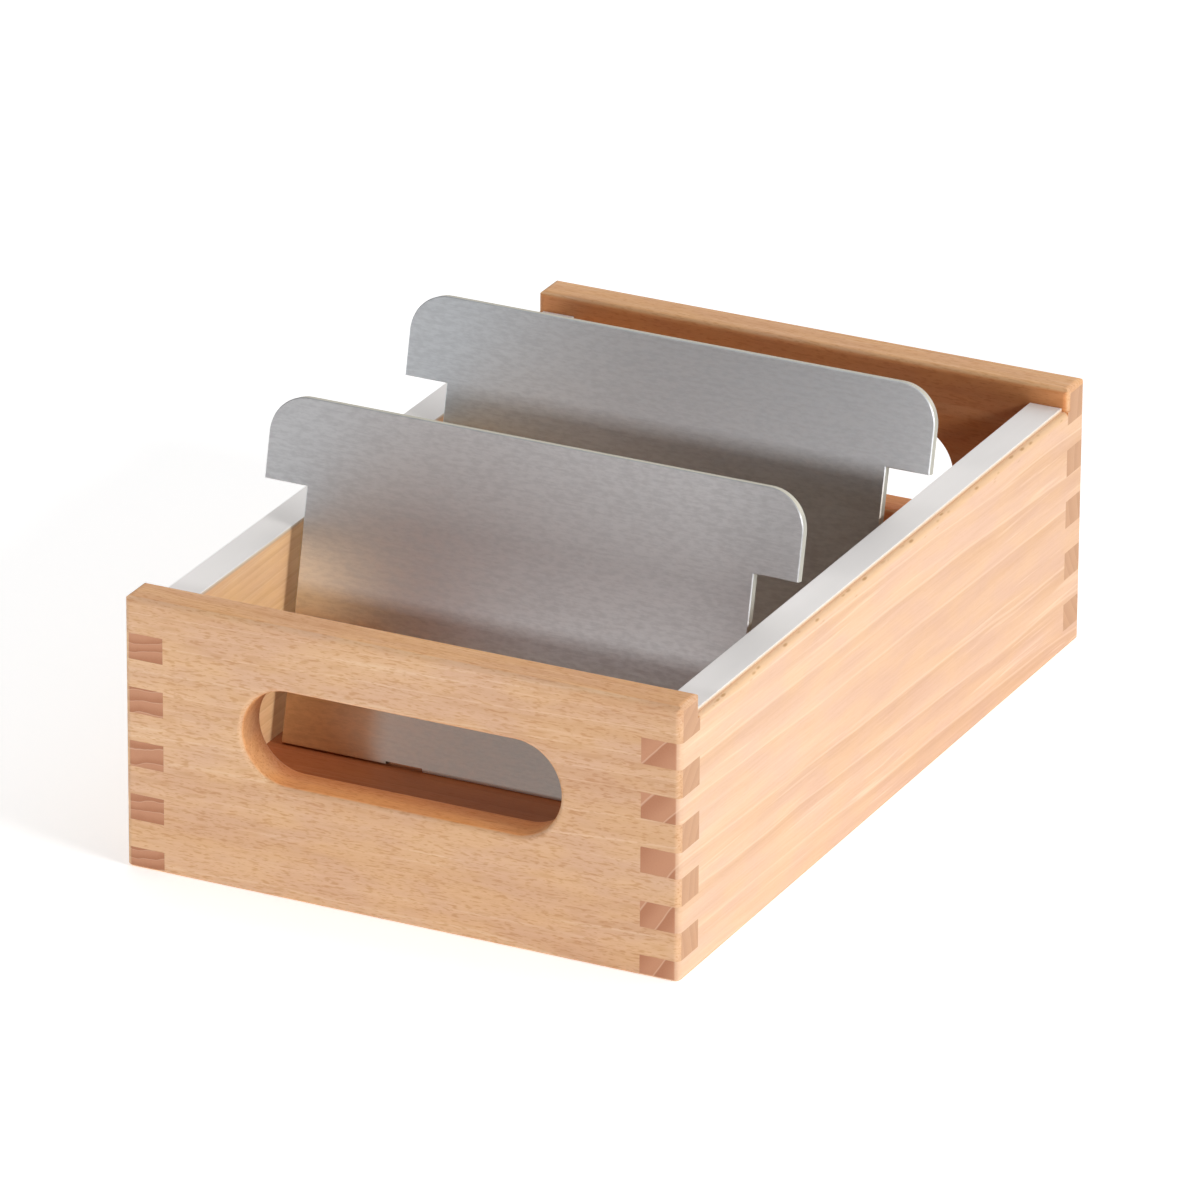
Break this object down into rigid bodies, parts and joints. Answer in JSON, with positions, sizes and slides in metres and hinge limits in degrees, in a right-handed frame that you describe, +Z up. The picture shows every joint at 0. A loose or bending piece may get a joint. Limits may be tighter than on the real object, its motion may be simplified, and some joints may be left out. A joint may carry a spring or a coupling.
{
  "type": "index card box",
  "caption": "Open wooden box for a row of index cards, with finger-jointed corners, a grip hole in each end board, metal rails and leaning metal support plates.",
  "frame": {"origin": "middle of the box's footprint, on the surface that it stands on", "axes": "+X across the box to the right, +Y from the front board to the back board, +Z up"},
  "size_m": [0.178, 0.2784, 0.1173],
  "materials": {
    "beech": "satin",
    "rail_metal": "satin",
    "sheet_metal": "brushed"
  },
  "bodies": {
    "box": {"front_board": "beech", "back_board": "beech", "right_side": "beech", "left_side": "beech", "floor_panel": "beech", "right_rail": "rail_metal", "left_rail": "rail_metal"},
    "front_plate": {"front_support_plate": "sheet_metal"},
    "back_plate": {"back_support_plate": "sheet_metal"}
  },
  "joints": [
    {"name": "front_plate_slide", "type": "slide", "parent": "box", "child": "front_plate", "axis": [0, 1, 0], "range_m": [-0.052, 0.022]},
    {"name": "back_plate_slide", "type": "slide", "parent": "box", "child": "back_plate", "axis": [0, 1, 0], "range_m": [-0.022, 0.066]}
  ]
}
